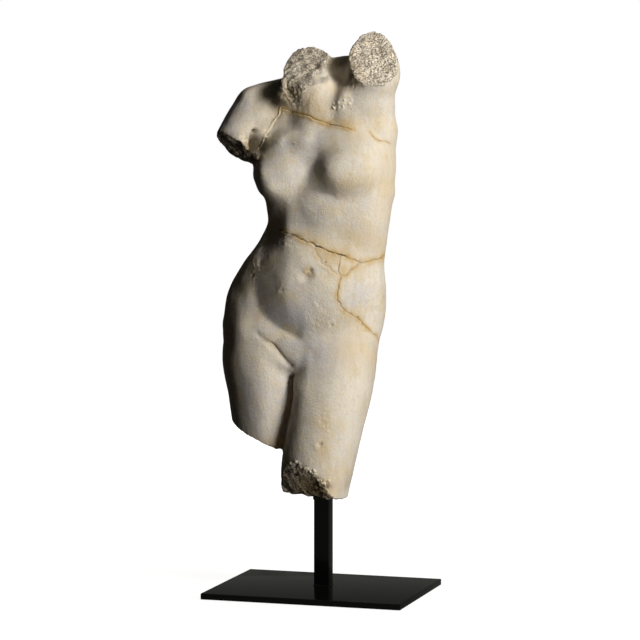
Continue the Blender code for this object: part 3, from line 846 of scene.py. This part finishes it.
def marble_surface(settings):
    """Patinated marble, with iron stain, earth, lime crumbs and open grain where it broke; the earth also
    paints shade in hollows and creases, and one crumb paints a highlight.
    """
    stone = Surface("weathered_marble")
    broad, mid = stone.noise(22), stone.noise(95, 4, 0.6)
    fine, grain = stone.noise(420, 3, 0.6), stone.noise(1500, 2, 0.6)
    streaks = stone.noise(260, stretch=(1, 1, 0.18))
    ochre, cool = stone.noted("ochre"), stone.noted("cool")
    soil, cream, broken = stone.noted("soil"), stone.noted("cream"), stone.noted("broken")

    drift = stone.math("ADD", stone.span(mid, 0.35, 0.65, -0.22, 0.22),
                       stone.span(broad, 0.35, 0.65, -0.28, 0.28))
    colour = stone.blend(stone.math("ADD", cool, drift, clamp=True),
                         settings.cream, settings.cool_grey)
    tint = stone.math("MULTIPLY", ochre, stone.span(fine, 0.3, 0.7, 0.6, 1.25), clamp=True)
    fox = stone.math("ADD", stone.span(stone.noise(180, 4, 0.7), 0.55, 0.72, 0, 0.65),
                     stone.span(stone.noise(46, 4, 0.65), 0.48, 0.66, 0, 0.5), clamp=True)
    colour = stone.blend(fox, colour, settings.ochre_pale)
    shade = stone.math("MULTIPLY", stone.span(fine, 0.3, 0.7, 0.93, 1.05),
                       stone.span(streaks, 0.3, 0.7, 0.95, 1.04))
    colour = stone.blend(1.0, colour, shade, "MULTIPLY")

    pores = stone.span(stone.noise(560, 4, 0.75), 0.37, 0.50)
    crumble = stone.blend(pores, settings.fracture_dark, settings.fracture_pale)
    crumble = stone.blend(stone.span(mid, 0.5, 0.7, 0, 0.25), crumble, settings.ochre)
    colour = stone.blend(broken, colour, crumble)
    colour = stone.blend(tint, colour, settings.ochre)
    # The cream mark lightens towards the crumb colour: lime crumbs, and beside the navel a painted
    # highlight.
    colour = stone.blend(stone.math("MULTIPLY", cream, 0.85, clamp=True), colour, settings.crumb)
    # The earth mark blends in the earth colour: dirt in cracks, pits and breaks, and painted shade in the
    # armpit, the groin crease, the navel and round the neck and the raised arm.
    earth = stone.math("SUBTRACT", soil, stone.math("MULTIPLY", cream, 0.8), clamp=True)
    earth = stone.math("MULTIPLY", earth, stone.span(grain, 0.3, 0.7, 0.85, 1.15), clamp=True)
    rough = stone.math("ADD", stone.span(fine, 0.3, 0.7, 0.46, 0.62),
                       stone.math("MULTIPLY", broken, 0.3), clamp=True)
    stone.finish(Base_Color=stone.blend(earth, colour, settings.soil), Roughness=rough,
                 Specular_IOR_Level=0.35)

    pits = stone.span(stone.cells(520), 0.05, 0.35)
    height = stone.math("ADD", stone.math("MULTIPLY", fine, 0.55),
                        stone.math("MULTIPLY", grain, 0.3))
    height = stone.math("ADD", height, stone.math("MULTIPLY", pits, 0.18))
    open_grain = stone.math("MULTIPLY", stone.math("MULTIPLY", broken, pores), 2.2)
    stone.bump(stone.math("ADD", height, open_grain), settings.grain_height)
    return stone.material


def black_surface(name, colour, roughness, scratch):
    """Polished black with faint wipe marks and dust."""
    coat = Surface(name)
    dust = coat.span(coat.noise(900, 3, 0.7), 0.62, 0.75, 0, 0.035)
    haze = coat.noise(35)
    lines = coat.noise(60, 2, 0.5, stretch=(1, 14, 1))
    rough = coat.math("ADD", coat.span(haze, 0.3, 0.7, roughness, roughness + 0.08),
                      coat.span(lines, 0.55, 0.75, 0, scratch), clamp=True)
    coat.finish(Base_Color=coat.blend(dust, colour, DUST_COLOUR), Roughness=rough,
                Specular_IOR_Level=0.5)
    coat.bump(coat.noise(1200, 2), WIPE_HEIGHT)
    return coat.material


# ---------- Sizes and colours that a user would change ----------

def number_property(name, text, default, high, **kind):
    """A number from 0 to high."""
    return FloatProperty(name=name, description=text, default=default, min=0, max=high, **kind)


def power_property(name, text, default):
    """A light's power, up to 500 W."""
    return number_property(name, text, default, 500, unit="POWER")


def colour_property(name, text, default):
    """A colour that the user picks."""
    return FloatVectorProperty(name=name, description=text, default=default, size=3,
                               min=0, max=1, subtype="COLOR")


class MarbleSettings(PropertyGroup):
    """How deep the marble is worked, and its colours"""
    crack_depth: number_property("Crack depth", "Scales how deep the cracks are cut", 1.0, 2,
                                 subtype="FACTOR")
    fracture_height: number_property("Fracture height", "Scales the crags of the broken faces",
                                     1.0, 2, subtype="FACTOR")
    grain_height: number_property("Grain height", "Height of the fine grain of the stone",
                                  0.0008, 0.003, unit="LENGTH")
    cream: colour_property("Cream", "Weathered marble where it is warm", (0.735, 0.682, 0.58))
    cool_grey: colour_property("Cool grey", "Marble where the patina is grey",
                               (0.59, 0.575, 0.58))
    ochre: colour_property("Ochre", "Iron stain along cracks", (0.60, 0.42, 0.18))
    ochre_pale: colour_property("Pale ochre", "Faint yellow mottling", (0.67, 0.545, 0.33))
    crumb: colour_property("Crumbs", "Pale lime crumbs", (0.80, 0.73, 0.55))
    fracture_pale: colour_property("Fracture grains", "Grains of the broken faces",
                                   (0.99, 0.90, 0.74))
    fracture_dark: colour_property("Fracture pores", "Pores of the broken faces",
                                   (0.57, 0.47, 0.34))
    # This earth colour also paints the shade in the armpit, the groin crease, the navel and round the
    # neck and the raised arm.
    soil: colour_property("Earth", "Dark earth in cracks and hollows", (0.06, 0.045, 0.026))


class StandSettings(PropertyGroup):
    """Roundings and colours of the rod and the plate"""
    plate_rounding: number_property("Plate rounding", "Radius of the plate's polished edges",
                                    0.0007, 0.002, unit="LENGTH")
    rod_rounding: number_property("Rod rounding", "Radius of the rod's arrises",
                                  0.0005, 0.003, unit="LENGTH")
    metal: colour_property("Rod black", "Painted steel of the rod", (0.0015, 0.0015, 0.0018))
    acrylic: colour_property("Plate black", "Gloss black of the plate", (0.002, 0.002, 0.002))
    gel: colour_property("Gel", "Dark setting gel at the rod's top", (0.015, 0.014, 0.013))


class StageSettings(PropertyGroup):
    """The floor, the room and the power of each light"""
    floor: colour_property("Floor", "Colour of the plain floor", (1.0, 1.0, 0.995))
    room: colour_property("Room", "Grey that the gloss of the stand shows", (0.070, 0.070, 0.064))
    key_power: power_property("Key light", "Power of the main light", 24)
    top_power: power_property("Top light", "Power of the light from above", 2.5)
    low_power: power_property("Low light", "Power of the lower main light", 19.5)
    fill_power: power_property("Fill light", "Power of the weak front light", 0.8)
    edge_power: power_property("Edge light", "Power of the light at the far side", 5.5)
    back_power: power_property("Back light", "Power of the light behind", 18)


# ---------- Pieces ----------

# The stand, in metres: the bead round the rod's foot and the gel at its top. SQUARENESS is the
# power of the rounded square that both follow.
BEAD_RISE = 0.0004
BEAD_THICKNESS = 0.0009
GEL_HEIGHT = 0.0928
GEL_INSET = 0.0006
GEL_THICKNESS = 0.0015
SQUARENESS = 9
RING_NOISE = 10
SMOOTH_ANGLE = 0.6
MERGE_DISTANCE = 1e-5
DUST_COLOUR = (0.12, 0.12, 0.11)
WIPE_HEIGHT = 0.00002


def merged_copy(node, name):
    """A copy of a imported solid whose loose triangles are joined."""
    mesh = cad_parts[node].data.copy()
    mesh.name = name
    mesh.materials.clear()
    piece = add_object(name, mesh)
    activate(piece)
    bpy.ops.object.mode_set(mode="EDIT")
    bpy.ops.mesh.select_all(action="SELECT")
    bpy.ops.mesh.remove_doubles(threshold=MERGE_DISTANCE)
    bpy.ops.object.mode_set(mode="OBJECT")
    return piece


class VENUS_OT_marble_body(Operator):
    """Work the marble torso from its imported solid"""
    bl_idname = "venus.marble_body"
    bl_label = "Marble Torso"

    def execute(self, context):
        settings = context.scene.venus_marble
        solid = merged_copy("torso", "marble_torso")
        points, corners = vertex_points(solid.data), triangles(solid.data)
        patch = patches_of(points, corners)
        routes, ridge = lay_routes(points, corners)
        lines = [*routes, (ridge, FINE_CRACK)]
        for _ in range(REFINE_PASSES):
            points, corners, patch, more = divide(points, corners, patch, lines)
            if not more:
                break
        points = fill_forms(polish(points, corners, POLISH_ROUNDS), corners)
        routes, ridge = lay_routes(points, corners)
        points, marks = carve_details(points, corners, patch, settings, routes, ridge)
        mesh = bpy.data.meshes.new("marble_torso")
        mesh.from_pydata([tuple(p) for p in points * MM], [], corners.tolist())
        bpy.data.meshes.remove(solid.data)
        piece = add_object("marble_torso", mesh)
        for name, values in marks.items():
            note(mesh, name, values)
        mesh.materials.append(marble_surface(settings))
        activate(piece)
        bpy.ops.object.shade_smooth()
        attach(piece, "root")
        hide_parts("torso")
        return {"FINISHED"}


def rounded_block(name, low, high, rounding, segments):
    """A block between two corners, its edges rounded."""
    low, high = Vector(low), Vector(high)
    deselect()
    bpy.ops.mesh.primitive_cube_add(size=1, location=(low + high) / 2)
    piece = bpy.context.object
    piece.name = piece.data.name = name
    piece.scale = high - low
    bpy.ops.object.transform_apply(location=True, rotation=True, scale=True)
    bpy.ops.object.mode_set(mode="EDIT")
    bpy.ops.mesh.select_all(action="SELECT")
    bpy.ops.mesh.bevel(offset=rounding, segments=segments, profile=0.5, affect="EDGES")
    bpy.ops.object.mode_set(mode="OBJECT")
    bpy.ops.object.shade_smooth_by_angle(angle=SMOOTH_ANGLE)
    return piece


def collar(name, centre, height, half_side, thickness, swing, seed):
    """A soft uneven ring that hugs a square bar."""
    deselect()
    bpy.ops.mesh.primitive_torus_add(
        major_segments=96, minor_segments=14, major_radius=1.0, minor_radius=0.5)
    piece = bpy.context.object
    piece.name = piece.data.name = name
    mesh = piece.data
    points = vertex_points(mesh) * MM
    angle = np.arctan2(points[:, 1], points[:, 0])
    out = np.hypot(points[:, 0], points[:, 1]) - 1
    power = SQUARENESS
    square = 1 / (np.abs(np.cos(angle)) ** power + np.abs(np.sin(angle)) ** power) ** (1 / power)
    ring = RING_NOISE * np.stack([np.cos(angle), np.sin(angle), np.zeros(len(angle))], axis=1)
    uneven = 1 + swing * swell(ring, 7, seed) + 0.5 * swing * swell(ring, 2.6, seed + 1)
    uneven = np.clip(uneven, 0.3, 1.9)
    reach = half_side * square + 2 * out * thickness * uneven
    rise = 2 * points[:, 2] * thickness * uneven
    points = np.stack([centre[0] + reach * np.cos(angle), centre[1] + reach * np.sin(angle),
                       height + rise], axis=1)
    mesh.vertices.foreach_set("co", points.astype(np.float32).ravel())
    mesh.update()
    bpy.ops.object.shade_smooth()
    return piece


class VENUS_OT_support_rod(Operator):
    """Make the square rod, the bead round its foot and the gel at its top"""
    bl_idname = "venus.support_rod"
    bl_label = "Support Rod"

    def execute(self, context):
        settings = context.scene.venus_stand
        low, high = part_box("support_rod")
        plate_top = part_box("base_plate")[1].z
        centre = (low + high) / 2
        half_side = (high.x - low.x) / 2
        black = black_surface("black_painted_metal", settings.metal, roughness=0.08, scratch=0.08)
        rod = rounded_block("square_rod", low, high, settings.rod_rounding, segments=3)
        bead = collar("rod_foot_bead", centre, plate_top + BEAD_RISE, half_side,
                      BEAD_THICKNESS, swing=0.45, seed=5)
        gel = collar("rod_top_gel", centre, GEL_HEIGHT, half_side - GEL_INSET,
                     GEL_THICKNESS, swing=0.6, seed=8)
        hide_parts("support_rod")
        for piece in (rod, bead, gel):
            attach(piece, "root")
        for piece in (rod, bead):
            piece.data.materials.append(black)
        gel.data.materials.append(
            black_surface("dark_gel", settings.gel, roughness=0.08, scratch=0.05))
        return {"FINISHED"}


class VENUS_OT_base_plate(Operator):
    """Make the polished base plate"""
    bl_idname = "venus.base_plate"
    bl_label = "Base Plate"

    def execute(self, context):
        settings = context.scene.venus_stand
        low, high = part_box("base_plate")
        plate = rounded_block("polished_plate", low, high, settings.plate_rounding, segments=4)
        plate.data.materials.append(
            black_surface("black_polished_acrylic", settings.acrylic, roughness=0.05, scratch=0.04))
        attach(plate, "root")
        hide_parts("base_plate")
        return {"FINISHED"}


# ---------- Stage ----------

# Directions are in degrees round the object and above it, lengths in metres, and the camera's
# lens and sensor in millimetres.
VIEW_AZIMUTH = 17.34
VIEW_ELEVATION = 4.775
VIEW_DISTANCE = 2.911
VIEW_TARGET = Vector((-0.0024, -0.0007, 0.2669))
LENS = 168.75
SENSOR = 36
VIEW_END = 50
FLOOR_SIZE = 12
FLOOR_DROP = 0.0004
ROOM_RADIUS = 8
STAGE_MIDDLE = Vector((0, 0, 0.31))
WARM_WHITE = (1, 0.965, 0.92)

# Lights: name, degrees round from the view, degrees up, distance, size, colour.
LIGHTS = [
    ("key", 50, 30, 1.8, 0.4, WARM_WHITE),
    ("low", 35, -7, 1.8, 0.4, WARM_WHITE),
    ("fill", -5, -5, 2.0, 1.0, (1, 0.70, 0.40)),
    ("top", 70, 55, 1.8, 0.6, WARM_WHITE),
    ("edge", 150, 4, 1.8, 0.6, (1, 0.98, 0.94)),
    ("back", 182, 14, 1.8, 0.6, (1, 0.90, 0.76)),
]


def add_facing(name, data, target, azimuth, elevation, distance):
    """Add a light or camera that looks at its target from a direction and a distance."""
    turn, rise = np.radians(azimuth), np.radians(elevation)
    way = Vector((np.sin(turn) * np.cos(rise), -np.cos(turn) * np.cos(rise), np.sin(rise)))
    item = add_object(name, data)
    item.location = target + way * distance
    item.rotation_mode = "QUATERNION"
    item.rotation_quaternion = way.to_track_quat("Z", "Y")
    return item


def add_lights(settings):
    """Round soft lights, which the gloss of the pieces doesn't show."""
    for name, azimuth, elevation, distance, size, colour in LIGHTS:
        lamp = bpy.data.lights.new(name + "_light", "AREA")
        lamp.shape = "DISK"
        lamp.size = size
        lamp.energy = getattr(settings, name + "_power")
        lamp.color = colour
        light = add_facing(name + "_light", lamp, STAGE_MIDDLE, VIEW_AZIMUTH + azimuth,
                           elevation, distance)
        light.visible_glossy = False


def add_camera():
    """A long lens that looks slightly down at the figure's front, from its left."""
    lens = bpy.data.cameras.new("camera")
    lens.lens = LENS
    lens.sensor_width = SENSOR
    lens.clip_end = VIEW_END
    bpy.context.scene.camera = add_facing("camera", lens, VIEW_TARGET, VIEW_AZIMUTH,
                                          VIEW_ELEVATION, VIEW_DISTANCE)


def add_floor(settings):
    """A pale floor that glows faintly, so that it runs into the white of the room."""
    deselect()
    bpy.ops.mesh.primitive_plane_add(size=FLOOR_SIZE, location=(0, 0, -FLOOR_DROP))
    floor = bpy.context.object
    floor.name = "floor"
    pale = Surface("pale_floor")
    away = pale.add("ShaderNodeVectorMath", {0: pale.spot}, operation="LENGTH")
    mottle = pale.blend(pale.span(pale.noise(3), 0.3, 0.7), (0.20, 0.20, 0.20),
                        (0.22, 0.22, 0.22))
    pale.finish(Base_Color=mottle, Roughness=0.9, Specular_IOR_Level=0.1,
                Emission_Color=settings.floor,
                Emission_Strength=pale.span(away.outputs["Value"], 0.10, 0.40, 0.90, 1.02))
    floor.data.materials.append(pale.material)
    floor.visible_diffuse = floor.visible_glossy = False


def add_room(settings):
    """A dark grey shell round the stage, which only the gloss of the pieces shows."""
    deselect()
    bpy.ops.mesh.primitive_ico_sphere_add(subdivisions=4, radius=ROOM_RADIUS)
    room = bpy.context.object
    room.name = room.data.name = "grey_room"
    paint = Surface("room_grey")
    paint.finish(Base_Color=(0, 0, 0), Emission_Color=settings.room, Emission_Strength=1)
    room.data.materials.append(paint.material)
    room.visible_camera = room.visible_diffuse = room.visible_shadow = False
    room.visible_transmission = room.visible_volume_scatter = False


class VENUS_OT_stage(Operator):
    """Set up the plain floor, the soft lights and the camera"""
    bl_idname = "venus.stage"
    bl_label = "Stage"

    def execute(self, context):
        settings = context.scene.venus_stage
        add_floor(settings)
        add_room(settings)
        world = bpy.data.worlds.new("white_room")
        world.use_nodes = True
        world.node_tree.nodes["Background"].inputs["Color"].default_value = (1, 1, 1, 1)
        world.cycles_visibility.diffuse = False
        world.cycles_visibility.glossy = False
        context.scene.world = world
        context.scene.view_settings.view_transform = "Standard"
        add_lights(settings)
        add_camera()
        return {"FINISHED"}


class VENUS_PT_panel(Panel):
    """Lists the pieces of the statue"""
    bl_idname = "VENUS_PT_panel"
    bl_label = "Venus Torso"
    bl_space_type = "VIEW_3D"
    bl_region_type = "UI"
    bl_category = "Venus"

    def draw(self, context):
        for operator in OPERATORS:
            self.layout.operator(operator.bl_idname)
        for name in GROUPS:
            group = getattr(context.scene, name)
            box = self.layout.box()
            for field in group.bl_rna.properties.keys():
                if field not in ("rna_type", "name"):
                    box.prop(group, field)


GROUPS = {"venus_marble": MarbleSettings, "venus_stand": StandSettings,
          "venus_stage": StageSettings}
OPERATORS = (VENUS_OT_marble_body, VENUS_OT_support_rod, VENUS_OT_base_plate, VENUS_OT_stage)
CLASSES = (*GROUPS.values(), *OPERATORS, VENUS_PT_panel)


def register():
    for item in CLASSES:
        bpy.utils.register_class(item)
    for name, group in GROUPS.items():
        setattr(bpy.types.Scene, name, PointerProperty(type=group))


def unregister():
    for name in GROUPS:
        delattr(bpy.types.Scene, name)
    for item in reversed(CLASSES):
        bpy.utils.unregister_class(item)


def main():
    register()
    bpy.ops.venus.marble_body()
    bpy.ops.venus.support_rod()
    bpy.ops.venus.base_plate()
    bpy.ops.venus.stage()


if __name__ == "__main__":
    main()
